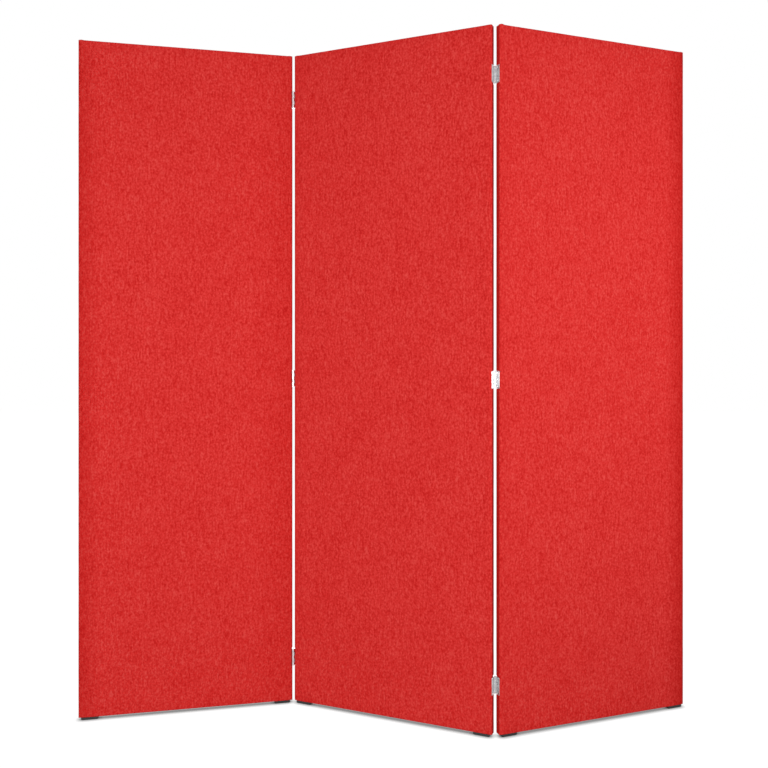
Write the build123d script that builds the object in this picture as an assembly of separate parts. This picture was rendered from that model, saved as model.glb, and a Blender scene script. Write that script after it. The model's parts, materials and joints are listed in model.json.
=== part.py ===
from build123d import *
import os
from math import sqrt

os.makedirs("parts", exist_ok=True)

# A folding screen of three felt-covered panels that stand in a zig-zag.
# Lengths are in millimetres and angles in degrees. +Z is up, +X runs along the screen and -Y is its front.
# Each panel is built upright about its own middle, then turned and moved to its place in the zig-zag.

# Layers of a panel, from the middle outwards
frame_thickness = 11.0
board_thickness = 2.5
wadding_thickness = 1.0
cover_thickness = 1.0

# Outline of a panel
panel_width = 500.0
cover_height = 1594.0
core_corner_radius = 4.0
board_arris_share = 0.6

# Wooden frame
stile_width = 36.0
end_rail_height = 50.0
cross_rail_height = 36.0
cross_rail_count = 2

# Dowels between rails and stiles
dowel_radius = 3.0
dowel_length = 30.0
dowel_spacing = 16.0
dowel_edge_distance = 12.0
dowel_fit = 0.05
dowel_end_gap = 0.5

# Butt hinges
hinge_height = 40.0
hinge_inset = 108.0
leaf_thickness = 1.2
leaf_edge_margin = 3.6
leaf_corner_radius = 1.5
knuckle_count = 5
knuckle_gap = 0.3
notch_gap = 0.5
pin_radius = 1.25
pin_fit = 0.05
pin_head_radius = 2.0
pin_head_height = 0.8
pin_head_round_share = 0.6
axis_standoff = 1.6

# Screws
screw_shank_radius = 1.5
screw_fit = 0.05
screw_point_length = 3.0
screw_end_gap = 0.5
hinge_screw_length = 14.0
hinge_screws_per_leaf = 3
hinge_screw_end_distance = 5.0
countersink_share = 0.9
glide_screw_length = 16.0
glide_screw_head_radius = 3.0
recess_length_share = 0.62
recess_width_share = 0.22
recess_depth_share = 0.6

# Glides under the panels
glide_height = 6.0
glide_length = 38.0
glide_end_inset = 5.0
glide_side_inset = 2.0
glide_chamfer = 2.0
glide_screw_spacing = 20.0
glide_recess_depth = 1.2

# How far each panel is turned from the screen's width
left_angle = 11.9
centre_angle = -22.4
right_angle = 19.5

# One overrun for every cut that runs out of its piece
cut_overrun = 1.0

# Sizes that follow from those above
skin_thickness = cover_thickness + wadding_thickness
core_thickness = frame_thickness + 2 * board_thickness
panel_thickness = core_thickness + 2 * skin_thickness
core_width = panel_width - 2 * skin_thickness
core_height = cover_height - 2 * skin_thickness
board_arris_radius = board_thickness * board_arris_share
cover_middle = glide_height + cover_height / 2
core_bottom = glide_height + skin_thickness
core_top = core_bottom + core_height
rail_length = core_width - 2 * stile_width

barrel_radius = pin_radius + pin_fit + leaf_thickness
leaf_reach = axis_standoff + panel_thickness - leaf_edge_margin
axis_along = panel_width / 2 + barrel_radius
axis_out = panel_thickness / 2 + axis_standoff
knuckle_pitch = (hinge_height + knuckle_gap) / knuckle_count
knuckle_length = knuckle_pitch - knuckle_gap
hinge_screw_pitch = (hinge_height - 2 * hinge_screw_end_distance) / (hinge_screws_per_leaf - 1)
hinge_screw_head_radius = screw_shank_radius + leaf_thickness * countersink_share

glide_width = panel_thickness - 2 * glide_side_inset
glide_offset = panel_width / 2 - glide_end_inset - glide_length / 2

hinge_heights = {
    "top": glide_height + cover_height - hinge_inset,
    "middle": cover_middle,
    "bottom": glide_height + hinge_inset,
}


def spread(count, pitch):
    """Places of count things, one pitch apart, about zero."""
    return [(index - (count - 1) / 2) * pitch for index in range(count)]


def rounded_slab(width, height, thickness, corner, roll):
    """An upright slab with rounded corners, and rolled arrises round its front and back."""
    slab = Box(width, thickness, height)
    slab = fillet(slab.edges().filter_by(Axis.Y), corner)
    sides = slab.faces().sort_by(Axis.Y)
    return fillet(sides[0].edges() + sides[-1].edges(), roll)


def grown_slab(growth):
    """The panel's core with its outline, corners and arrises moved out by growth."""
    slab = rounded_slab(
        core_width + 2 * growth,
        core_height + 2 * growth,
        core_thickness + 2 * growth,
        core_corner_radius + growth,
        board_arris_radius + growth,
    )
    return Pos(0, 0, cover_middle) * slab


def screw(head_radius, length):
    """A countersunk screw with its head at zero and its point upwards."""
    cone_height = head_radius - screw_shank_radius
    profile = Polyline(
        (0, 0),
        (head_radius, 0),
        (screw_shank_radius, cone_height),
        (screw_shank_radius, length - screw_point_length),
        (0, length),
        close=True,
    )
    body = revolve(Plane.XZ * make_face(profile), Axis.Z)
    long_side = 2 * head_radius * recess_length_share
    short_side = 2 * head_radius * recess_width_share
    depth = cone_height * recess_depth_share
    for size_x, size_y in ((long_side, short_side), (short_side, long_side)):
        body -= Box(size_x, size_y, 2 * depth)
    return body


def shank_hole(length):
    """The hole for a screw's shank, from zero up to just past its point."""
    return Pos(0, 0, -cut_overrun) * Cylinder(
        screw_shank_radius + screw_fit,
        length + screw_end_gap + cut_overrun,
        align=(Align.CENTER, Align.CENTER, Align.MIN),
    )


def countersink(head_radius):
    """The seat of a screw's head, from zero up to where the shank hole begins."""
    cone_height = head_radius - screw_shank_radius
    return Cone(
        head_radius + screw_fit,
        screw_shank_radius + screw_fit,
        cone_height,
        align=(Align.CENTER, Align.CENTER, Align.MIN),
    )


def hinge_screw_places(side):
    """Where the hinge screws enter a panel's edge, each pointing into the panel."""
    head_x = side * (panel_width / 2 + leaf_thickness)
    return [
        Pos(head_x, 0, height + offset) * Rot(0, -90 * side, 0)
        for height in hinge_heights.values()
        for offset in spread(hinge_screws_per_leaf, hinge_screw_pitch)
    ]


def glide_places():
    """Middles of a panel's two glides, on the floor."""
    return [Pos(side * glide_offset, 0, 0) for side in (-1, 1)]


def glide_screw_places():
    """Where the glide screws enter, with their heads recessed in the glides."""
    return [
        place * Pos(offset, 0, glide_recess_depth)
        for place in glide_places()
        for offset in spread(2, glide_screw_spacing)
    ]


def fixing_holes(hinge_sides):
    """Every screw hole that runs into a panel with hinges on these sides."""
    holes = [place * shank_hole(glide_screw_length) for place in glide_screw_places()]
    for side in hinge_sides:
        holes += [place * shank_hole(hinge_screw_length) for place in hinge_screw_places(side)]
    return holes


def cover(holes):
    """The felt, wrapped closely round the wadding."""
    return grown_slab(skin_thickness) - grown_slab(wadding_thickness) - holes


def wadding(holes):
    """The thin padding between the felt and the boards."""
    return grown_slab(wadding_thickness) - grown_slab(0) - holes


def board(face):
    """A hardboard skin on the front (-1) or the back (1) of the frame."""
    sheet = Box(core_width, board_thickness, core_height)
    sheet = fillet(sheet.edges().filter_by(Axis.Y), core_corner_radius)
    outer_face = sheet.faces().sort_by(Axis.Y)[0 if face < 0 else -1]
    sheet = fillet(outer_face.edges(), board_arris_radius)
    return Pos(0, face * (frame_thickness + board_thickness) / 2, cover_middle) * sheet


def rail_heights():
    """Middle height of each rail, and the heights of the dowels at its ends."""
    inner_bottom = core_bottom + end_rail_height
    inner_top = core_top - end_rail_height
    step = (inner_top - inner_bottom) / (cross_rail_count + 1)
    end_pair = dowel_edge_distance + dowel_spacing / 2
    rails = {
        "bottom": (core_bottom + end_rail_height / 2, inner_bottom - end_pair),
        "top": (core_top - end_rail_height / 2, inner_top + end_pair),
    }
    for index in range(cross_rail_count):
        height = inner_bottom + (index + 1) * step
        rails[f"cross {index}"] = (height, height)
    return rails


def dowel_places():
    """Middles of the dowels, half in a rail and half in a stile."""
    return [
        Pos(side * rail_length / 2, 0, pair_height + offset) * Rot(0, 90, 0)
        for _, pair_height in rail_heights().values()
        for side in (-1, 1)
        for offset in spread(2, dowel_spacing)
    ]


def dowel_holes():
    """The blind holes that the dowels lie in."""
    hole = Cylinder(dowel_radius + dowel_fit, dowel_length + 2 * dowel_end_gap)
    return [place * hole for place in dowel_places()]


def stile(side, holes):
    """The frame's upright on one side, with its outer corners rounded like the boards."""
    post = Box(stile_width, frame_thickness, core_height)
    outer_edges = post.edges().filter_by(Axis.Y).group_by(Axis.X)[0 if side < 0 else -1]
    post = fillet(outer_edges, core_corner_radius)
    post = Pos(side * (core_width - stile_width) / 2, 0, cover_middle) * post
    return post - dowel_holes() - holes


def rail(middle_height, rail_height, holes):
    """A crosswise piece of the frame between the stiles."""
    bar = Pos(0, 0, middle_height) * Box(rail_length, frame_thickness, rail_height)
    return bar - dowel_holes() - holes


def glide():
    """A low plastic foot with its lower edges chamfered."""
    foot = Box(
        glide_length,
        glide_width,
        glide_height,
        align=(Align.CENTER, Align.CENTER, Align.MIN),
    )
    foot = chamfer(foot.faces().sort_by(Axis.Z)[0].edges(), glide_chamfer)
    recess = Pos(0, 0, -cut_overrun) * Cylinder(
        glide_screw_head_radius + screw_fit,
        glide_recess_depth + cut_overrun,
        align=(Align.CENTER, Align.CENTER, Align.MIN),
    )
    seat = Pos(0, 0, glide_recess_depth) * (countersink(glide_screw_head_radius) + shank_hole(glide_height))
    for offset in spread(2, glide_screw_spacing):
        foot -= Pos(offset, 0, 0) * recess
        foot -= Pos(offset, 0, 0) * seat
    return foot


def knuckle_cutter(face):
    """Clears one knuckle of the other leaf, measured from the hinge's axis."""
    depth = 2 * barrel_radius + notch_gap + cut_overrun
    block = Box(2 * (barrel_radius + cut_overrun), depth, knuckle_length + 2 * knuckle_gap)
    return Pos(0, -face * (barrel_radius + notch_gap - depth / 2), 0) * block


def leaf(side, face, own_first):
    """A hinge leaf about its own axis, for a panel's side edge, with the barrel beyond that face.

    The leaf with own_first holds the outer knuckles, and its partner the ones between.
    """
    inner = barrel_radius - leaf_thickness
    meeting = sqrt(barrel_radius**2 - inner**2)
    outline = Polyline(
        (-side * barrel_radius, 0),
        (-side * barrel_radius, -face * leaf_reach),
        (-side * inner, -face * leaf_reach),
        (-side * inner, -face * meeting),
    )
    barrel = ThreePointArc(
        (-side * inner, -face * meeting),
        (side * barrel_radius, 0),
        (-side * barrel_radius, 0),
    )
    plate = extrude(make_face(outline.edges() + barrel.edges()), hinge_height / 2, both=True)
    plate = fillet(plate.edges().filter_by(Axis.X), leaf_corner_radius)
    for index, height in enumerate(spread(knuckle_count, knuckle_pitch)):
        if (index % 2 == 0) != own_first:
            plate -= Pos(0, 0, height) * knuckle_cutter(face)
    plate -= Cylinder(pin_radius + pin_fit, hinge_height + 2 * cut_overrun)
    seat = countersink(hinge_screw_head_radius) + shank_hole(leaf_thickness)
    for offset in spread(hinge_screws_per_leaf, hinge_screw_pitch):
        head = Pos(-side * inner, -face * axis_out, offset) * Rot(0, -90 * side, 0)
        plate -= head * seat
    return plate


def pin():
    """A hinge pin whose rounded heads keep it in the barrel."""
    shaft = Cylinder(pin_radius, hinge_height)
    head = Cylinder(pin_head_radius, pin_head_height)
    rim = head.edges().filter_by(GeomType.CIRCLE).sort_by(Axis.Z)[-1]
    head = fillet(rim, pin_head_height * pin_head_round_share)
    head = Pos(0, 0, (hinge_height + pin_head_height) / 2) * head
    return shaft + head + Rot(180, 0, 0) * head


def panel_nodes(name, hinge_sides):
    """Every piece of one panel but its hinges, about the panel's own middle."""
    holes = fixing_holes(hinge_sides)
    rails = rail_heights()
    cross_rails = [
        rail(height, cross_rail_height, holes)
        for label, (height, _) in rails.items()
        if label.startswith("cross")
    ]
    glide_screw = screw(glide_screw_head_radius, glide_screw_length)
    dowel = Cylinder(dowel_radius, dowel_length)
    return {
        f"{name}_cover": [cover(holes)],
        f"{name}_wadding": [wadding(holes)],
        f"{name}_front_board": [board(-1) - holes],
        f"{name}_back_board": [board(1) - holes],
        f"{name}_left_stile": [stile(-1, holes)],
        f"{name}_right_stile": [stile(1, holes)],
        f"{name}_top_rail": [rail(rails["top"][0], end_rail_height, holes)],
        f"{name}_bottom_rail": [rail(rails["bottom"][0], end_rail_height, holes)],
        f"{name}_cross_rails": cross_rails,
        f"{name}_dowels": [place * dowel for place in dowel_places()],
        f"{name}_glides": [place * glide() for place in glide_places()],
        f"{name}_glide_screws": [place * glide_screw for place in glide_screw_places()],
    }


def hinge_nodes(seam, role, side, face):
    """The leaves and screws that a seam puts on one panel, and the pins on the panel that holds them."""
    holds_pin = role == "fixed"
    axis = Pos(side * axis_along, face * axis_out, 0)
    hinge_screw = screw(hinge_screw_head_radius, hinge_screw_length)
    nodes = {
        f"{seam}_{role}_screws": [place * hinge_screw for place in hinge_screw_places(side)],
    }
    for label, height in hinge_heights.items():
        place = axis * Pos(0, 0, height)
        nodes[f"{seam}_{label}_{role}_leaf"] = [place * leaf(side, face, holds_pin)]
        if holds_pin:
            nodes[f"{seam}_{label}_pin"] = [place * pin()]
    return nodes


def folded_place(centre_place, side, face, angle):
    """Where an outer panel stands, turned to angle about the seam axis on the centre panel's side and face."""
    axis = (centre_place * Pos(side * axis_along, face * axis_out, 0)).position
    return Pos(axis) * Rot(0, 0, angle) * Pos(side * axis_along, -face * axis_out, 0)


def footprint_middle(places):
    """The middle of the box that the panels' corners fill on the floor."""
    corners = [
        (place * Pos(x * panel_width / 2, y * panel_thickness / 2, 0)).position
        for place in places
        for x in (-1, 1)
        for y in (-1, 1)
    ]
    xs = [corner.X for corner in corners]
    ys = [corner.Y for corner in corners]
    return Vector((min(xs) + max(xs)) / 2, (min(ys) + max(ys)) / 2, 0)


def write(nodes, place):
    """Writes each node of a panel where the panel stands."""
    for name, solids in nodes.items():
        placed = [place * solid for solid in solids]
        shape = placed[0] if len(placed) == 1 else Compound(children=placed)
        export_step(shape, f"parts/{name}.step")


# The far seam has its barrels in front of the centre panel's left edge, and the near seam behind its right edge.
far_seam = (-1, -1)
near_seam = (1, 1)

turned_centre = Rot(0, 0, centre_angle)
turned_places = [
    folded_place(turned_centre, *far_seam, left_angle),
    turned_centre,
    folded_place(turned_centre, *near_seam, right_angle),
]
to_origin = Pos(-footprint_middle(turned_places))
left_place, centre_place, right_place = [to_origin * place for place in turned_places]

left_nodes = panel_nodes("left_panel", [1])
left_nodes |= hinge_nodes("left_hinge", "folding", 1, -1)
write(left_nodes, left_place)

centre_nodes = panel_nodes("centre_panel", [-1, 1])
centre_nodes |= hinge_nodes("left_hinge", "fixed", *far_seam)
centre_nodes |= hinge_nodes("right_hinge", "fixed", *near_seam)
write(centre_nodes, centre_place)

right_nodes = panel_nodes("right_panel", [-1])
right_nodes |= hinge_nodes("right_hinge", "folding", -1, 1)
write(right_nodes, right_place)

for label, (side, face) in {"left": far_seam, "right": near_seam}.items():
    axis = (centre_place * Pos(side * axis_along, face * axis_out, 0)).position
    print(f"{label} seam axis at x {axis.X:.6f}, y {axis.Y:.6f}")
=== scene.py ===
import json
import math

import bmesh
import bpy
from mathutils import Matrix, Vector, noise


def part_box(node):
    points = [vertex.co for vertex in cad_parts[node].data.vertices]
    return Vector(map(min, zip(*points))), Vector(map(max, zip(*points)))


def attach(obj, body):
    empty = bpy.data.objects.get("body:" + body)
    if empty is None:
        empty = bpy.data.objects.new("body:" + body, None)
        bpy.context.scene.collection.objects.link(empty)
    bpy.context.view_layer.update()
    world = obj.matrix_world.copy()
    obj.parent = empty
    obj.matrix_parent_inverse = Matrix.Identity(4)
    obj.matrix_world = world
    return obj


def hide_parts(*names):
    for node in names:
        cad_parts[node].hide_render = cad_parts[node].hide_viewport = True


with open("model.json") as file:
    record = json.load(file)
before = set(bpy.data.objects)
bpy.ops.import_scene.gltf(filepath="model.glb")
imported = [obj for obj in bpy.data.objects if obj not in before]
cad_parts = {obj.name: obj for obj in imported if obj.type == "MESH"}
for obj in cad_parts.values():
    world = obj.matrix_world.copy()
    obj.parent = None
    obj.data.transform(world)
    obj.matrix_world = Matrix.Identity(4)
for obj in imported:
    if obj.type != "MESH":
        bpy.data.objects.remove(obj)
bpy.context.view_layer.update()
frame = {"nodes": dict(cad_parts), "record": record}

# Lengths are in metres. A panel is shaped about its own middle, with its front towards -Y, and is then
# stood in its place
MM = 0.001
CUT_TOLERANCE = 1e-6
PANELS = ("left_panel", "centre_panel", "right_panel")

# Felt cover: a sleeve sewn along both side edges and the top, pulled down over the panel. Its front arrises
# are rolled more than its back ones, and its corners are nearly square seen from the front
FELT_THICKNESS = 1.0 * MM
FRONT_ROLL = Vector((4.2, 4.2, 2.2)) * MM
BACK_ROLL = Vector((2.2, 2.2, 2.2)) * MM
CORNER_POWER = 5.0

# Band along the rims where the felt's relief sets in, and the cuts that let its grid follow it: on the faces
# counted in from the rim, and across the narrow edges counted out from their middle
RIM_BAND = 2.2 * MM
RIM_START = 2 * RIM_BAND
RIM_RISE = 1.5 * RIM_BAND
RIM_CUTS = [cut * MM for cut in (0.6, 1.3, 2.2, 3.1, 4.2, 5.6, 7.2, 9.2, 11.6, 14.6, 18.6, 24.0)]
FELT_GRID = 5.2 * MM
EDGE_CUTS = [cut * MM for cut in (0.5, 1.2, 2.4, 4.2, 5.8, 6.9, 7.8, 8.7, 9.4)]

# Relief of the felt: how high each kind of unevenness stands, how far apart its swells are, and how far the
# faces fall back towards the side and end rims. Each panel has its own part of the pattern
SWELL_HEIGHT = 0.25 * MM
SWELL_SPAN = 90.0 * MM
LUMP_HEIGHT = 0.08 * MM
LUMP_SPAN = 16.0 * MM
EDGE_PUFF = 1.2 * MM
TOP_PUFF_SHARE = 0.7
EDGE_WANDER_SHARE = 0.25
EDGE_WANDER_SPAN = 55.0 * MM
SEAM_DEPTH = 0.7 * MM
SEAM_WIDTH = 0.8 * MM
SIDE_FALL = 1.3 * MM
END_FALL = 0.3 * MM
FALL_REACH = 14.0 * MM
LEAF_PRESS_MARGIN = 2.5 * MM
PATTERN_STEP = Vector((3.1, 7.7, 1.3))

# Tucks where the sleeve's upper corners bunch up: heights at each panel's left and right corner
TUCK_HEIGHTS = {
    "left_panel": (1.1 * MM, 0.7 * MM),
    "centre_panel": (0.8 * MM, 0.4 * MM),
    "right_panel": (1.9 * MM, 0.9 * MM),
}
TUCK_INSET = 5.5 * MM
TUCK_REACH = 4.2 * MM
TUCK_DEPTH = 5.0 * MM

# Painted shade: the felt's colour darkens towards this share of its red, green and blue: most on the
# narrow edges, easing off over the front roll and the back arris, and softly inward from the rims. A panel's
# left and right sides each carry painted shade by a share of their own, over a reach of their own
SHADE_LAYER = "edge"
EDGE_SHADE = (0.70, 0.12, 0.06, 1.0)
EDGE_SHADE_SHARE = 0.85
EDGE_START = 1.2 * MM
EDGE_FULL = 5.0 * MM
BACK_ARRIS = 1.5 * MM
RIM_SHADE_SHARE = 0.16
RIM_SHADE_REACH = 30.0 * MM
UNSHADED_SIDE = (0.0, RIM_SHADE_REACH)
SIDE_SHADES = {
    "left_panel": ((0.5, 50.0 * MM), (0.3, 110.0 * MM)),
    "centre_panel": (UNSHADED_SIDE, UNSHADED_SIDE),
    "right_panel": (UNSHADED_SIDE, (0.75, 58.0 * MM)),
}
SIDE_SHADE_FADE = 1.3

# Wadding under the felt, with a share of the felt's lumps and of its fall towards the rims
WADDING_GRID = 18.0 * MM
WADDING_LUMP_SHARE = 0.4
WADDING_FALL_SHARE = 0.6

# Hem glued along the underside, between the glides
HEM_WIDTH = 11.0 * MM
HEM_THICKNESS = 0.8 * MM
HEM_ROLL = HEM_THICKNESS / 3
HEM_END_GAP = 4.0 * MM
HEM_GRID = 8.0 * MM
HEM_WANDER = 0.5 * MM

# Felt patterns: features a metre, how far each is drawn out along Z, and the share each has in the tone and
# in the nap's height. The fibres lean both ways
MOTTLE_SCALE = 235
MOTTLE_DRAW = (1, 1, 0.8)
MOTTLE_RANGE = (0.28, 0.72)
MOTTLE_HEIGHT = 0.15
STRAND_SCALE = 300
STRAND_DRAW = (1, 1, 0.18)
STRAND_SHARE = 0.2
CLOUD_SCALE = 13
CLOUD_SHARE = 0.05
FIBRE_SCALE = 1500
FIBRE_DRAW = (1, 1, 0.12)
FIBRE_LEANS = (0.5, -0.7)
FIBRE_SHARE = 0.12
FIBRE_HEIGHT = 0.85

# Grain, board, metal and plastic patterns, in features a metre
GRAIN_DRAW = (1, 1, 0.04)
BAND_SCALE = 120
PORE_SCALE = 1400
BOARD_FIBRE_SCALE = 900
BOARD_CLOUD_SCALE = 25
SCRATCH_DRAW = (1, 1, 0.06)
SCRATCH_SCALE = 2600
SMUDGE_SCALE = 160
SPARK_SCALE = 2200
SCUFF_SCALE = 140

# Colours, as screen values from 0 to 255
FELT_REDS = {"Dark": (197, 26, 24), "Middle": (215, 48, 45), "Light": (224, 73, 68)}
NAP_PINK = (255, 190, 185)
FLEECE_WHITES = {"Dark": (214, 210, 202), "Middle": (232, 229, 222), "Light": (246, 244, 239)}
PINE = ((222, 188, 140), (190, 146, 96))
BEECH = ((214, 172, 130), (186, 140, 98))
HARDBOARD = ((96, 66, 42), (142, 103, 68))
LEAF_NICKEL = ((220, 220, 221), (196, 196, 198))
BRIGHT_NICKEL = ((240, 240, 240), (220, 220, 220))
ZINC = ((196, 200, 206), (160, 165, 172))
BLACK_PLASTIC = ((7, 7, 7), (20, 19, 18))

# Finishes: strength and depth of the bump, and roughness from one end of the pattern to the other. The felt
# has little shine and a faint pink nap
FELT_BUMP = (0.5, 0.1 * MM)
FELT_ROUGHNESS = (0.8, 0.66)
FELT_SHINE = 0.08
NAP_WEIGHT = 0.03
NAP_ROUGHNESS = 0.6
FLEECE_BUMP = (0.7, 0.8 * MM)
FLEECE_ROUGHNESS = (1.0, 0.9)
WOOD_BUMP = (0.3, 0.2 * MM)
WOOD_ROUGHNESS = (0.7, 0.5)
BOARD_BUMP = (0.2, 0.1 * MM)
BOARD_ROUGHNESS = (0.6, 0.42)
STEEL_BUMP = (0.15, 0.05 * MM)
LEAF_ROUGHNESS = (0.24, 0.40)
PIN_ROUGHNESS = (0.18, 0.34)
SCREW_ROUGHNESS = (0.16, 0.30)
ZINC_ROUGHNESS = (0.26, 0.46)
PLASTIC_BUMP = (0.3, 0.08 * MM)
PLASTIC_ROUGHNESS = (0.38, 0.6)

# Floor: how far round a foot its contact shadow reaches, how hidden a spot is where the shadow is full, how
# bright the open floor is, how much light it throws back, and how much it throws back where it is seen
FLOOR_HALF_WIDTH = 12.0
SHADOW_REACH = 12.0 * MM
SHADOW_FULL = 0.04
SHADOW_SAMPLES = 16
FLOOR_GLOW = 1.0
FLOOR_PAINT = (0.42, 0.42, 0.42, 1)
FLOOR_FAINT = (0.06, 0.06, 0.06, 1)

# Lamps: where each stands, how wide it is and its power in watts, all turned to the screen's middle
LAMP_TARGET = (0.0, 0.0, 0.85)
LAMPS = {
    "key_light": ((1.32, -1.14, 1.14), 1.2, 13.8),
    "fill_light": ((-1.26, -3.44, 0.83), 1.6, 90.0),
    "back_light": ((0.0, 2.8, 1.2), 2.0, 60.0),
    "top_light": ((0.0, 0.0, 3.6), 1.6, 12.0),
}
SURROUND_LIGHT = 0.12

# Camera, from the photograph's perspective
IMAGE_WIDTH = 768
FOCAL_PIXELS = 814.4
HORIZON_PIXEL = 363.4
CENTRE_PIXEL = 385.3
CAMERA_ASIDE = -0.0101
CAMERA_BACK = 1.9286
CAMERA_HEIGHT = 0.8399
SENSOR_WIDTH = 36.0


def middle(box):
    """The middle of a node's box."""
    low, high = box
    return (Vector(low) + Vector(high)) / 2


class Panel:
    """Where a panel stands, how it is turned and how large its cover is, read from the frame."""

    def __init__(self, name):
        self.name = name
        cover = f"{name}_cover"
        left = middle(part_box(f"{name}_left_stile"))
        right = middle(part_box(f"{name}_right_stile"))
        self.middle = middle(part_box(cover))
        self.angle = math.atan2(right.y - left.y, right.x - left.x)
        self.place = Matrix.Translation(self.middle) @ Matrix.Rotation(self.angle, 4, "Z")
        back = self.place.inverted()
        points = [back @ vertex.co for vertex in frame["nodes"][cover].data.vertices]
        self.size = Vector([2 * max(abs(point[axis]) for point in points) for axis in range(3)])

    def leaves(self):
        """Boxes of the hinge leaves on this panel, in the panel's own space."""
        back = self.place.inverted()
        boxes = []
        for node in frame["record"]["behaviour"]["bodies"][self.name]:
            if node.endswith("_leaf"):
                points = [back @ vertex.co for vertex in frame["nodes"][node].data.vertices]
                low = Vector([min(point[axis] for point in points) for axis in range(3)])
                high = Vector([max(point[axis] for point in points) for axis in range(3)])
                boxes.append((low, high))
        return boxes


def piece(name, bm, body, material):
    """Makes a finished piece that rides on a body and takes a slot's finish."""
    mesh = bpy.data.meshes.new(name)
    bm.to_mesh(mesh)
    bm.free()
    mesh.polygons.foreach_set("use_smooth", [True] * len(mesh.polygons))
    mesh.materials.append(material)
    made = bpy.data.objects.new(name, mesh)
    bpy.context.scene.collection.objects.link(made)
    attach(made, body)
    return made


def cuts_across(length, rim_cuts, grid):
    """Places of the cuts across a length: close together at both rims, and then evenly spread."""
    rims = [length / 2 - cut for cut in rim_cuts]
    inner = rims[-1]
    steps = max(1, round(2 * inner / grid))
    even = [-inner + 2 * inner * step / steps for step in range(1, steps)]
    return [-rim for rim in rims] + even + rims[::-1]


def cut_grid(bm, axis, places):
    """Cuts a mesh along planes square to an axis."""
    normal = Vector([1.0 if index == axis else 0.0 for index in range(3)])
    for place in places:
        geom = bm.verts[:] + bm.edges[:] + bm.faces[:]
        at = normal * place
        bmesh.ops.bisect_plane(bm, geom=geom, dist=CUT_TOLERANCE, plane_co=at, plane_no=normal)


def rounded_slab(size, front_roll, back_roll, rim_cuts, grid, level_cuts=()):
    """A slab cut into a grid that can follow a relief, with its edges and corners rolled."""
    bm = bmesh.new()
    bmesh.ops.create_cube(bm, size=1.0)
    bmesh.ops.scale(bm, vec=size, verts=bm.verts)
    cut_grid(bm, 1, [-cut for cut in EDGE_CUTS] + [0.0] + EDGE_CUTS)
    cut_grid(bm, 2, list(level_cuts) + cuts_across(size.z, rim_cuts, grid))
    cut_grid(bm, 0, cuts_across(size.x, rim_cuts, grid))
    for vertex in bm.verts:
        roll = front_roll if vertex.co.y < 0 else back_roll
        limits = size / 2 - roll
        core = Vector([max(-limit, min(limit, value)) for limit, value in zip(limits, vertex.co)])
        step = Vector([part / radius for part, radius in zip(vertex.co - core, roll)])
        seen_flat = (abs(step.x) ** CORNER_POWER + abs(step.z) ** CORNER_POWER) ** (1 / CORNER_POWER)
        vertex.co = core + step / math.hypot(seen_flat, step.y) * roll
    return bm


def smooth_step(value):
    """Rises from 0 to 1 as value does, level at both ends."""
    value = min(1.0, max(0.0, value))
    return value * value * (3 - 2 * value)


def pressed(point, boxes):
    """How far the felt is pressed at a point by a hinge leaf, from 0, free, to 1, under it."""
    most = 0.0
    for low, high in boxes:
        outside = max(
            abs(point.x - (low.x + high.x) / 2) - (high.x - low.x) / 2,
            low.y - point.y,
            point.y - high.y,
            low.z - point.z,
            point.z - high.z,
            0.0,
        )
        most = max(most, 1.0 - smooth_step(outside / LEAF_PRESS_MARGIN))
    return most


def hump(distance, width):
    """A smooth hump, 1 at no distance and gone at about twice the width."""
    return math.exp(-((distance / width) ** 2))


def at_rim(value, reach):
    """0 well inside a panel's reach along one axis, and 1 from where its rolled arris begins."""
    return smooth_step((value - reach + RIM_START) / RIM_RISE)


def shoulder(point, size):
    """How far a face's soft shoulder falls back towards the rims at a point, along Y."""
    half = size / 2
    side = SIDE_FALL * max(0.0, 1.0 - (half.x - abs(point.x)) / FALL_REACH) ** 2
    end = END_FALL * max(0.0, 1.0 - (half.z - abs(point.z)) / FALL_REACH) ** 2
    return math.copysign(at_rim(abs(point.y), half.y) * (side + end), -point.y)


def felt_relief(point, size, boxes, seed):
    """How far the felt stands away from its plain shape at a point."""
    here = point + seed
    half = size / 2
    free = 1.0 - pressed(point, boxes)
    glued = at_rim(-point.z, half.z)
    on_face = at_rim(abs(point.y), half.y)
    wander = EDGE_WANDER_SHARE * abs(noise.noise(here / EDGE_WANDER_SPAN))
    puff = EDGE_PUFF * (1.0 - wander)
    seam = SEAM_DEPTH * hump(point.y, SEAM_WIDTH)
    move = Vector((0.0, 0.0, 0.0))
    move.x = math.copysign(at_rim(abs(point.x), half.x) * (puff - seam), point.x)
    move.z = at_rim(point.z, half.z) * (puff * TOP_PUFF_SHARE - seam)
    swell = SWELL_HEIGHT * noise.noise(here / SWELL_SPAN)
    lump = LUMP_HEIGHT * noise.noise(here / LUMP_SPAN)
    move.y = math.copysign(on_face * (swell + lump) * (1.0 - glued), point.y)
    return move * free


def painted_shade(point, size, side_shades):
    """How much painted shade darkens the felt's colour at a point, from 0, as on the broad faces, to 1,
    fully.
    """
    half = size / 2
    from_side = half.x - abs(point.x)
    from_end = half.z - abs(point.z)
    from_front = half.y + point.y
    onto_edge = smooth_step((from_front - EDGE_START) / (EDGE_FULL - EDGE_START))
    arris = EDGE_SHADE_SHARE * onto_edge * smooth_step((half.y - point.y) / BACK_ARRIS)
    rim = RIM_SHADE_SHARE * max(0.0, 1.0 - min(from_side, from_end) / RIM_SHADE_REACH)
    share, reach = side_shades[point.x > 0]
    side = share * max(0.0, 1.0 - from_side / reach) ** SIDE_SHADE_FADE
    return max(arris, rim, side)


def corner_tuck(point, size, heights):
    """How far the bunched felt of an upper corner stands up at a point."""
    top = at_rim(point.z, size.z / 2)
    inset = size.x / 2 - abs(point.x) - TUCK_INSET
    deep = size.y / 2 - RIM_BAND / 2 - abs(point.y)
    return heights[point.x > 0] * top * hump(inset, TUCK_REACH) * hump(deep, TUCK_DEPTH)


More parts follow.
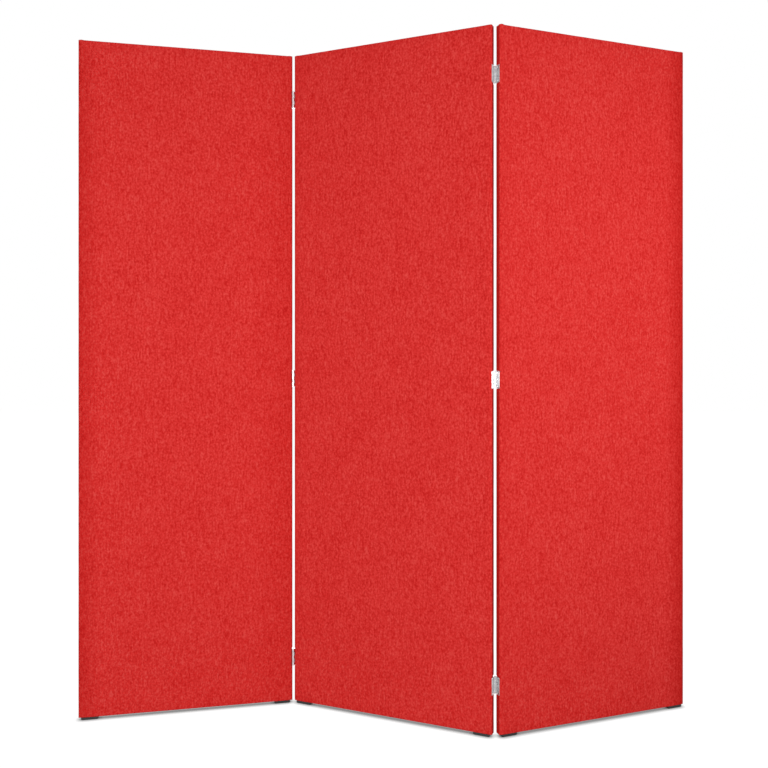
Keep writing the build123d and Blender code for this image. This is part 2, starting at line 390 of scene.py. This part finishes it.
def make_cover(panel, blank, material):
    """The felt cover of one panel, pulled taut round its wadding."""
    bm = blank.copy()
    seed = PATTERN_STEP * (1 + PANELS.index(panel.name))
    boxes = panel.leaves()
    edge = bm.verts.layers.float.new(SHADE_LAYER)
    for vertex in bm.verts:
        point = vertex.co.copy()
        # Painted shade: how far the felt's colour is darkened here, kept in the shade layer
        vertex[edge] = painted_shade(point, panel.size, SIDE_SHADES[panel.name])
        vertex.co += felt_relief(point, panel.size, boxes, seed)
        vertex.co.y += shoulder(point, panel.size)
        vertex.co.z += corner_tuck(point, panel.size, TUCK_HEIGHTS[panel.name])
    bmesh.ops.transform(bm, matrix=panel.place, verts=bm.verts)
    cover = piece(f"{panel.name}_felt_cover", bm, panel.name, material)
    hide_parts(f"{panel.name}_cover")


def make_wadding(panel, blank, size, material):
    """The fleece under one panel's felt."""
    bm = blank.copy()
    bm.normal_update()
    for vertex in bm.verts:
        lump = LUMP_HEIGHT * WADDING_LUMP_SHARE * noise.noise(vertex.co / LUMP_SPAN)
        fall = WADDING_FALL_SHARE * shoulder(vertex.co, size)
        vertex.co -= vertex.normal * abs(lump)
        vertex.co.y += fall
    bmesh.ops.transform(bm, matrix=panel.place, verts=bm.verts)
    fleece = piece(f"{panel.name}_fleece", bm, panel.name, material)
    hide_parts(f"{panel.name}_wadding")


def make_hem(panel, material):
    """The felt's turned-in edge, glued along the underside between the glides."""
    back = panel.place.inverted()
    glides = frame["nodes"][f"{panel.name}_glides"].data.vertices
    inner_ends = [abs((back @ vertex.co).x) for vertex in glides]
    length = 2 * (min(inner_ends) - HEM_END_GAP)
    bm = bmesh.new()
    bmesh.ops.create_cube(bm, size=1.0)
    bmesh.ops.scale(bm, vec=(length, HEM_WIDTH, HEM_THICKNESS), verts=bm.verts)
    edge = bm.verts.layers.float.new(SHADE_LAYER)
    bmesh.ops.bevel(
        bm,
        geom=bm.edges[:],
        offset=HEM_ROLL,
        segments=2,
        profile=0.5,
        affect="EDGES",
        material=-1,
    )
    steps = round(length / HEM_GRID)
    cut_grid(bm, 0, [length * (step / steps - 0.5) for step in range(1, steps)])
    for vertex in bm.verts:
        vertex.co.y += HEM_WANDER * noise.noise(Vector((vertex.co.x / SWELL_SPAN, panel.angle, 0.0)))
        # Painted shade: the whole hem, on the underside, is darkened in full
        vertex[edge] = 1.0
    bmesh.ops.translate(bm, vec=(0.0, 0.0, -(panel.size.z + HEM_THICKNESS) / 2), verts=bm.verts)
    bmesh.ops.transform(bm, matrix=panel.place, verts=bm.verts)
    piece(f"{panel.name}_hem", bm, panel.name, material)


def new_group(name, inputs, outputs):
    """A shader node group with named sockets, each input with its own starting value."""
    group = bpy.data.node_groups.new(name, "ShaderNodeTree")
    for socket, kind, value in inputs:
        made = group.interface.new_socket(socket, in_out="INPUT", socket_type=f"NodeSocket{kind}")
        made.default_value = value
    for socket, kind in outputs:
        group.interface.new_socket(socket, in_out="OUTPUT", socket_type=f"NodeSocket{kind}")
    return group, group.nodes.new("NodeGroupInput"), group.nodes.new("NodeGroupOutput")


def add_noise(tree, vector, scale, detail=2.0, roughness=0.5):
    """A noise texture on a vector, at so many features a metre."""
    node = tree.nodes.new("ShaderNodeTexNoise")
    node.inputs["Detail"].default_value = detail
    node.inputs["Roughness"].default_value = roughness
    node.inputs["Scale"].default_value = scale
    tree.links.new(vector, node.inputs["Vector"])
    return node.outputs["Fac"]


def add_mapping(tree, vector, scale=(1, 1, 1), turn=(0, 0, 0)):
    """Turns and stretches a pattern's coordinates."""
    node = tree.nodes.new("ShaderNodeMapping")
    node.inputs["Scale"].default_value = scale
    node.inputs["Rotation"].default_value = turn
    tree.links.new(vector, node.inputs["Vector"])
    return node.outputs["Vector"]


def add_range(tree, value, low, high, to_low=0.0, to_high=1.0):
    """Spreads the part of a value between low and high over another range."""
    node = tree.nodes.new("ShaderNodeMapRange")
    for name, number in zip(("From Min", "From Max", "To Min", "To Max"), (low, high, to_low, to_high)):
        node.inputs[name].default_value = number
    tree.links.new(value, node.inputs["Value"])
    return node.outputs["Result"]


def add_math(tree, operation, first, second):
    """Arithmetic on two values, each a socket or a number."""
    node = tree.nodes.new("ShaderNodeMath")
    node.operation = operation
    for socket, value in zip(node.inputs, (first, second)):
        if isinstance(value, (int, float)):
            socket.default_value = value
        else:
            tree.links.new(value, socket)
    return node.outputs["Value"]


def add_mix(tree, factor, first, second, blend="MIX"):
    """Mixes two colours by a factor, each a socket or a value."""
    node = tree.nodes.new("ShaderNodeMix")
    node.data_type = "RGBA"
    node.blend_type = blend
    for name, value in (("Factor", factor), ("A", first), ("B", second)):
        named = [socket for socket in node.inputs if socket.name == name and socket.enabled]
        socket = next(socket for socket in named if socket.type in ("RGBA", "VALUE"))
        if isinstance(value, bpy.types.NodeSocket):
            tree.links.new(value, socket)
        else:
            socket.default_value = value
    return next(socket for socket in node.outputs if socket.type == "RGBA" and socket.enabled)


def add_bump(tree, height, strength, distance):
    """A bump from a height."""
    node = tree.nodes.new("ShaderNodeBump")
    node.inputs["Strength"].default_value = strength
    node.inputs["Distance"].default_value = distance
    tree.links.new(height, node.inputs["Height"])
    return node.outputs["Normal"]


def colour(red, green, blue):
    """A linear colour from the usual 0 to 255 screen values."""

    def linear(value):
        share = value / 255
        return share / 12.92 if share <= 0.04045 else ((share + 0.055) / 1.055) ** 2.4

    return (linear(red), linear(green), linear(blue), 1.0)


def shades(named):
    """Linear colours for a group's named inputs."""
    return {name: colour(*values) for name, values in named.items()}


def felt_group():
    """Heathered felt: mottle, broad clouds and matted fibres, as a colour and a height."""
    inputs = [
        ("Vector", "Vector", (0, 0, 0)),
        ("Dark", "Color", (0, 0, 0, 1)),
        ("Middle", "Color", (0.5, 0.5, 0.5, 1)),
        ("Light", "Color", (1, 1, 1, 1)),
    ]
    group, given, made = new_group("heathered_felt", inputs, [("Color", "Color"), ("Height", "Float")])
    vector = given.outputs["Vector"]
    drawn = add_mapping(group, vector, scale=MOTTLE_DRAW)
    mottle = add_noise(group, drawn, MOTTLE_SCALE, detail=2.5, roughness=0.62)
    strand = add_noise(group, add_mapping(group, vector, scale=STRAND_DRAW), STRAND_SCALE, detail=1.5)
    cloud = add_noise(group, vector, CLOUD_SCALE, detail=2)
    leaning = [
        add_noise(group, add_mapping(group, vector, scale=FIBRE_DRAW, turn=(0, lean, lean)), FIBRE_SCALE)
        for lean in FIBRE_LEANS
    ]
    fibre = add_math(group, "MAXIMUM", *leaning)
    tone = add_range(group, mottle, *MOTTLE_RANGE)
    strewn = (
        (strand, 0.3, 0.7, STRAND_SHARE),
        (cloud, 0.3, 0.7, CLOUD_SHARE),
        (fibre, 0.45, 0.75, FIBRE_SHARE),
    )
    for pattern, low, high, share in strewn:
        tone = add_math(group, "ADD", tone, add_range(group, pattern, low, high, -share, share))
    deep = add_range(group, tone, 0.0, 0.5)
    lower = add_mix(group, deep, given.outputs["Dark"], given.outputs["Middle"])
    upper = add_mix(group, add_range(group, tone, 0.5, 1.0), lower, given.outputs["Light"])
    mottle_height = add_math(group, "MULTIPLY", mottle, MOTTLE_HEIGHT)
    fibre_height = add_math(group, "MULTIPLY", fibre, FIBRE_HEIGHT)
    height = add_math(group, "ADD", mottle_height, fibre_height)
    group.links.new(upper, made.inputs["Color"])
    group.links.new(height, made.inputs["Height"])
    return group


def grain_group():
    """Planed wood: growth bands and fine pores that run along the vector's Z."""
    inputs = [
        ("Vector", "Vector", (0, 0, 0)),
        ("Early", "Color", (0.7, 0.5, 0.3, 1)),
        ("Late", "Color", (0.5, 0.3, 0.15, 1)),
    ]
    group, given, made = new_group("wood_grain", inputs, [("Color", "Color"), ("Height", "Float")])
    along = add_mapping(group, given.outputs["Vector"], scale=GRAIN_DRAW)
    bands = add_noise(group, along, BAND_SCALE, detail=3, roughness=0.6)
    pores = add_noise(group, along, PORE_SCALE, detail=2)
    late = add_range(group, bands, 0.35, 0.65)
    tone = add_math(group, "ADD", late, add_range(group, pores, 0.3, 0.7, -0.15, 0.15))
    group.links.new(add_mix(group, tone, given.outputs["Early"], given.outputs["Late"]), made.inputs["Color"])
    group.links.new(add_math(group, "ADD", bands, pores), made.inputs["Height"])
    return group


def wear_group():
    """Handled metal: fine scratches along the piece, smudges, and a slight change of tone."""
    inputs = [
        ("Vector", "Vector", (0, 0, 0)),
        ("Clean", "Color", (0.7, 0.7, 0.7, 1)),
        ("Dull", "Color", (0.5, 0.5, 0.5, 1)),
        ("Smoothest", "Float", 0.2),
        ("Roughest", "Float", 0.45),
    ]
    outputs = [("Color", "Color"), ("Roughness", "Float"), ("Height", "Float")]
    group, given, made = new_group("handled_metal", inputs, outputs)
    vector = given.outputs["Vector"]
    scratches = add_noise(group, add_mapping(group, vector, scale=SCRATCH_DRAW), SCRATCH_SCALE, detail=2)
    smudge = add_noise(group, vector, SMUDGE_SCALE, detail=3)
    dulled = add_range(group, smudge, 0.35, 0.7)
    mixed = add_mix(group, dulled, given.outputs["Clean"], given.outputs["Dull"])
    group.links.new(mixed, made.inputs["Color"])
    spread = add_math(group, "SUBTRACT", given.outputs["Roughest"], given.outputs["Smoothest"])
    share = add_math(group, "MULTIPLY", add_math(group, "ADD", dulled, scratches), 0.5)
    rough = add_math(group, "ADD", given.outputs["Smoothest"], add_math(group, "MULTIPLY", spread, share))
    group.links.new(rough, made.inputs["Roughness"])
    group.links.new(scratches, made.inputs["Height"])
    return group


def new_material(name):
    """A material with its shader and the piece's own coordinates."""
    material = bpy.data.materials.new(name)
    material.use_nodes = True
    tree = material.node_tree
    shader = tree.nodes["Principled BSDF"]
    place = tree.nodes.new("ShaderNodeTexCoord").outputs["Object"]
    return material, tree, shader, place


def use_group(tree, group, vector, values):
    """Places a node group in a material with its own values."""
    node = tree.nodes.new("ShaderNodeGroup")
    node.node_tree = group
    tree.links.new(vector, node.inputs["Vector"])
    for name, value in values.items():
        node.inputs[name].default_value = value
    return node.outputs


def felt_material(group):
    """Red heathered felt with a soft nap, darkened by painted shade towards its edges."""
    material, tree, shader, place = new_material("red_heathered_felt")
    made = use_group(tree, group, place, shades(FELT_REDS))
    # Painted shade: the felt's colour darkens towards the edge shade by the share in the shade layer
    edge = tree.nodes.new("ShaderNodeAttribute")
    edge.attribute_name = SHADE_LAYER
    deep = add_mix(tree, 1.0, made["Color"], EDGE_SHADE, "MULTIPLY")
    shaded_colour = add_mix(tree, edge.outputs["Fac"], made["Color"], deep)
    tree.links.new(shaded_colour, shader.inputs["Base Color"])
    tree.links.new(add_bump(tree, made["Height"], *FELT_BUMP), shader.inputs["Normal"])
    tree.links.new(add_range(tree, made["Height"], 0.4, 0.7, *FELT_ROUGHNESS), shader.inputs["Roughness"])
    shader.inputs["Specular IOR Level"].default_value = FELT_SHINE
    shader.inputs["Sheen Weight"].default_value = NAP_WEIGHT
    shader.inputs["Sheen Roughness"].default_value = NAP_ROUGHNESS
    shader.inputs["Sheen Tint"].default_value = colour(*NAP_PINK)
    return material


def fleece_material(group):
    """Off-white polyester fleece."""
    material, tree, shader, place = new_material("off_white_fleece")
    made = use_group(tree, group, place, shades(FLEECE_WHITES))
    tree.links.new(made["Color"], shader.inputs["Base Color"])
    tree.links.new(add_bump(tree, made["Height"], *FLEECE_BUMP), shader.inputs["Normal"])
    tree.links.new(add_range(tree, made["Height"], 0.3, 0.7, *FLEECE_ROUGHNESS), shader.inputs["Roughness"])
    return material


def wood_material(name, group, turn, tones):
    """Planed wood whose grain runs along Z once its coordinates are turned."""
    material, tree, shader, place = new_material(name)
    early, late = tones
    turned = add_mapping(tree, place, turn=turn)
    made = use_group(tree, group, turned, shades({"Early": early, "Late": late}))
    tree.links.new(made["Color"], shader.inputs["Base Color"])
    tree.links.new(add_bump(tree, made["Height"], *WOOD_BUMP), shader.inputs["Normal"])
    tree.links.new(add_range(tree, made["Height"], 0.6, 1.4, *WOOD_ROUGHNESS), shader.inputs["Roughness"])
    return material


def hardboard_material():
    """Pressed fibreboard: dark brown, smooth, with short mixed fibres."""
    material, tree, shader, place = new_material("brown_hardboard")
    fibre = add_noise(tree, place, BOARD_FIBRE_SCALE, detail=4, roughness=0.7)
    cloud = add_noise(tree, place, BOARD_CLOUD_SCALE, detail=2)
    fibre_tone = add_range(tree, fibre, 0.3, 0.7)
    tone = add_math(tree, "ADD", fibre_tone, add_range(tree, cloud, 0.3, 0.7, -0.2, 0.2))
    mixed = add_mix(tree, tone, *[colour(*values) for values in HARDBOARD])
    tree.links.new(mixed, shader.inputs["Base Color"])
    tree.links.new(add_bump(tree, fibre, *BOARD_BUMP), shader.inputs["Normal"])
    tree.links.new(add_range(tree, cloud, 0.3, 0.7, *BOARD_ROUGHNESS), shader.inputs["Roughness"])
    return material


def steel_material(name, group, tones, roughness):
    """Plated steel with handling marks."""
    material, tree, shader, place = new_material(name)
    clean, dull = tones
    smoothest, roughest = roughness
    values = shades({"Clean": clean, "Dull": dull})
    made = use_group(tree, group, place, values | {"Smoothest": smoothest, "Roughest": roughest})
    tree.links.new(made["Color"], shader.inputs["Base Color"])
    tree.links.new(made["Roughness"], shader.inputs["Roughness"])
    tree.links.new(add_bump(tree, made["Height"], *STEEL_BUMP), shader.inputs["Normal"])
    shader.inputs["Metallic"].default_value = 1.0
    return material


def glide_material():
    """Black moulded plastic with a fine spark texture and scuffs."""
    material, tree, shader, place = new_material("black_moulded_plastic")
    spark = add_noise(tree, place, SPARK_SCALE, detail=2)
    scuff = add_noise(tree, place, SCUFF_SCALE, detail=4, roughness=0.65)
    worn = add_range(tree, scuff, 0.5, 0.72)
    mixed = add_mix(tree, worn, *[colour(*values) for values in BLACK_PLASTIC])
    tree.links.new(mixed, shader.inputs["Base Color"])
    tree.links.new(add_range(tree, scuff, 0.3, 0.7, *PLASTIC_ROUGHNESS), shader.inputs["Roughness"])
    tree.links.new(add_bump(tree, spark, *PLASTIC_BUMP), shader.inputs["Normal"])
    return material


def dress(ending, material, body=None):
    """Gives a material to every carried-over node with this ending, on one body or on all."""
    for name, node in frame["nodes"].items():
        on_body = body is None or name in frame["record"]["behaviour"]["bodies"][body]
        if name.endswith(ending) and on_body:
            for material_slot in node.material_slots:
                material_slot.material = material


def dress_frame_nodes(panels):
    """Finishes for every piece that keeps its exact shape."""
    grain = grain_group()
    wear = wear_group()
    dress("_stile", wood_material("pine_upright", grain, (0, 0, 0), PINE))
    for panel in panels:
        lying = (0.0, math.pi / 2, -panel.angle)
        name = panel.name
        dress("_rail", wood_material(f"pine_lying_{name}", grain, lying, PINE), name)
        dress("_rails", wood_material(f"pine_cross_{name}", grain, lying, PINE), name)
        dress("_dowels", wood_material(f"beech_dowel_{name}", grain, lying, BEECH), name)
    dress("_board", hardboard_material())
    dress("_leaf", steel_material("nickel_leaf", wear, LEAF_NICKEL, LEAF_ROUGHNESS))
    dress("_pin", steel_material("nickel_pin", wear, BRIGHT_NICKEL, PIN_ROUGHNESS))
    dress("_screws", steel_material("nickel_screw", wear, BRIGHT_NICKEL, SCREW_ROUGHNESS))
    dress("_glide_screws", steel_material("zinc_screw", wear, ZINC, ZINC_ROUGHNESS))
    dress("_glides", glide_material())


def rays_seen(tree):
    """1 for the rays that should show the white background: camera, glossy and transmitted ones."""
    light = tree.nodes.new("ShaderNodeLightPath")
    seen = add_math(tree, "MAXIMUM", light.outputs["Is Camera Ray"], light.outputs["Is Glossy Ray"])
    return add_math(tree, "MAXIMUM", seen, light.outputs["Is Transmission Ray"])


def floor_material():
    """A white floor that keeps a faint shadow, and throws pale light back on the object."""
    material = bpy.data.materials.new("white_floor")
    material.use_nodes = True
    tree = material.node_tree
    tree.nodes.clear()
    paint = tree.nodes.new("ShaderNodeBsdfDiffuse")
    paint.inputs["Color"].default_value = FLOOR_PAINT
    faint = tree.nodes.new("ShaderNodeBsdfDiffuse")
    faint.inputs["Color"].default_value = FLOOR_FAINT
    glow = tree.nodes.new("ShaderNodeEmission")
    near = tree.nodes.new("ShaderNodeAmbientOcclusion")
    near.samples = SHADOW_SAMPLES
    near.inputs["Distance"].default_value = SHADOW_REACH
    open_share = add_range(tree, near.outputs["AO"], SHADOW_FULL, 1.0, 0.0, FLOOR_GLOW)
    tree.links.new(open_share, glow.inputs["Strength"])
    both = tree.nodes.new("ShaderNodeAddShader")
    tree.links.new(faint.outputs[0], both.inputs[0])
    tree.links.new(glow.outputs[0], both.inputs[1])
    choose = tree.nodes.new("ShaderNodeMixShader")
    tree.links.new(rays_seen(tree), choose.inputs[0])
    tree.links.new(paint.outputs[0], choose.inputs[1])
    tree.links.new(both.outputs[0], choose.inputs[2])
    out = tree.nodes.new("ShaderNodeOutputMaterial")
    tree.links.new(choose.outputs[0], out.inputs["Surface"])
    return material


def make_floor():
    """A wide floor under the screen."""
    bm = bmesh.new()
    bmesh.ops.create_grid(bm, x_segments=1, y_segments=1, size=FLOOR_HALF_WIDTH)
    mesh = bpy.data.meshes.new("floor")
    bm.to_mesh(mesh)
    bm.free()
    mesh.materials.append(floor_material())
    floor = bpy.data.objects.new("floor", mesh)
    bpy.context.scene.collection.objects.link(floor)


def make_world(strength):
    """An even white surround: white where it is seen, and dimmer where it only lights."""
    world = bpy.data.worlds.new("studio")
    world.use_nodes = True
    tree = world.node_tree
    background = tree.nodes["Background"]
    background.inputs["Color"].default_value = (1, 1, 1, 1)
    seen = rays_seen(tree)
    tree.links.new(add_range(tree, seen, 0.0, 1.0, strength, 1.0), background.inputs["Strength"])
    bpy.context.scene.world = world


def make_light(name, at, towards, size, power):
    """A soft square lamp that faces a point."""
    data = bpy.data.lights.new(name, "AREA")
    data.shape = "SQUARE"
    data.size = size
    data.energy = power
    lamp = bpy.data.objects.new(name, data)
    lamp.location = at
    lamp.rotation_euler = (Vector(towards) - Vector(at)).to_track_quat("-Z", "Y").to_euler()
    lamp.visible_camera = False
    bpy.context.scene.collection.objects.link(lamp)


def make_camera(panels):
    """The photograph's view: level, in front of the centre panel."""
    data = bpy.data.cameras.new("camera")
    data.sensor_width = SENSOR_WIDTH
    data.lens = FOCAL_PIXELS / IMAGE_WIDTH * SENSOR_WIDTH
    data.shift_x = (IMAGE_WIDTH / 2 - CENTRE_PIXEL) / IMAGE_WIDTH
    data.shift_y = (HORIZON_PIXEL - IMAGE_WIDTH / 2) / IMAGE_WIDTH
    camera = bpy.data.objects.new("camera", data)
    centre = panels["centre_panel"].middle
    camera.location = (centre.x + CAMERA_ASIDE, centre.y - CAMERA_BACK, CAMERA_HEIGHT)
    camera.rotation_euler = (math.pi / 2, 0, 0)
    bpy.context.scene.collection.objects.link(camera)
    bpy.context.scene.camera = camera


panels = {name: Panel(name) for name in PANELS}
first = panels[PANELS[0]]

felt = felt_group()
red_felt = felt_material(felt)
fleece = fleece_material(felt)

# Every panel's blank is the same, cut level with the ends of the hinge leaves, where the felt is pressed
leaf_ends = sorted(end.z for box in first.leaves() for end in box)
margins = (-LEAF_PRESS_MARGIN, 0.0, LEAF_PRESS_MARGIN)
leaf_cuts = [end + margin for end in leaf_ends for margin in margins]
felt_blank = rounded_slab(first.size, FRONT_ROLL, BACK_ROLL, RIM_CUTS, FELT_GRID, leaf_cuts)
inward = Vector((FELT_THICKNESS, FELT_THICKNESS, FELT_THICKNESS))
inner_size = first.size - 2 * inward
inner_rolls = (FRONT_ROLL - inward, BACK_ROLL - inward)
wadding_blank = rounded_slab(inner_size, *inner_rolls, RIM_CUTS[1::2], WADDING_GRID)
for panel in panels.values():
    make_cover(panel, felt_blank, red_felt)
    make_wadding(panel, wadding_blank, inner_size, fleece)
    make_hem(panel, red_felt)
felt_blank.free()
wadding_blank.free()
dress_frame_nodes(panels.values())

make_floor()
make_world(SURROUND_LIGHT)
for lamp, (at, size, power) in LAMPS.items():
    make_light(lamp, at, LAMP_TARGET, size, power)
make_camera(panels)

bpy.context.scene.view_settings.view_transform = "Standard"
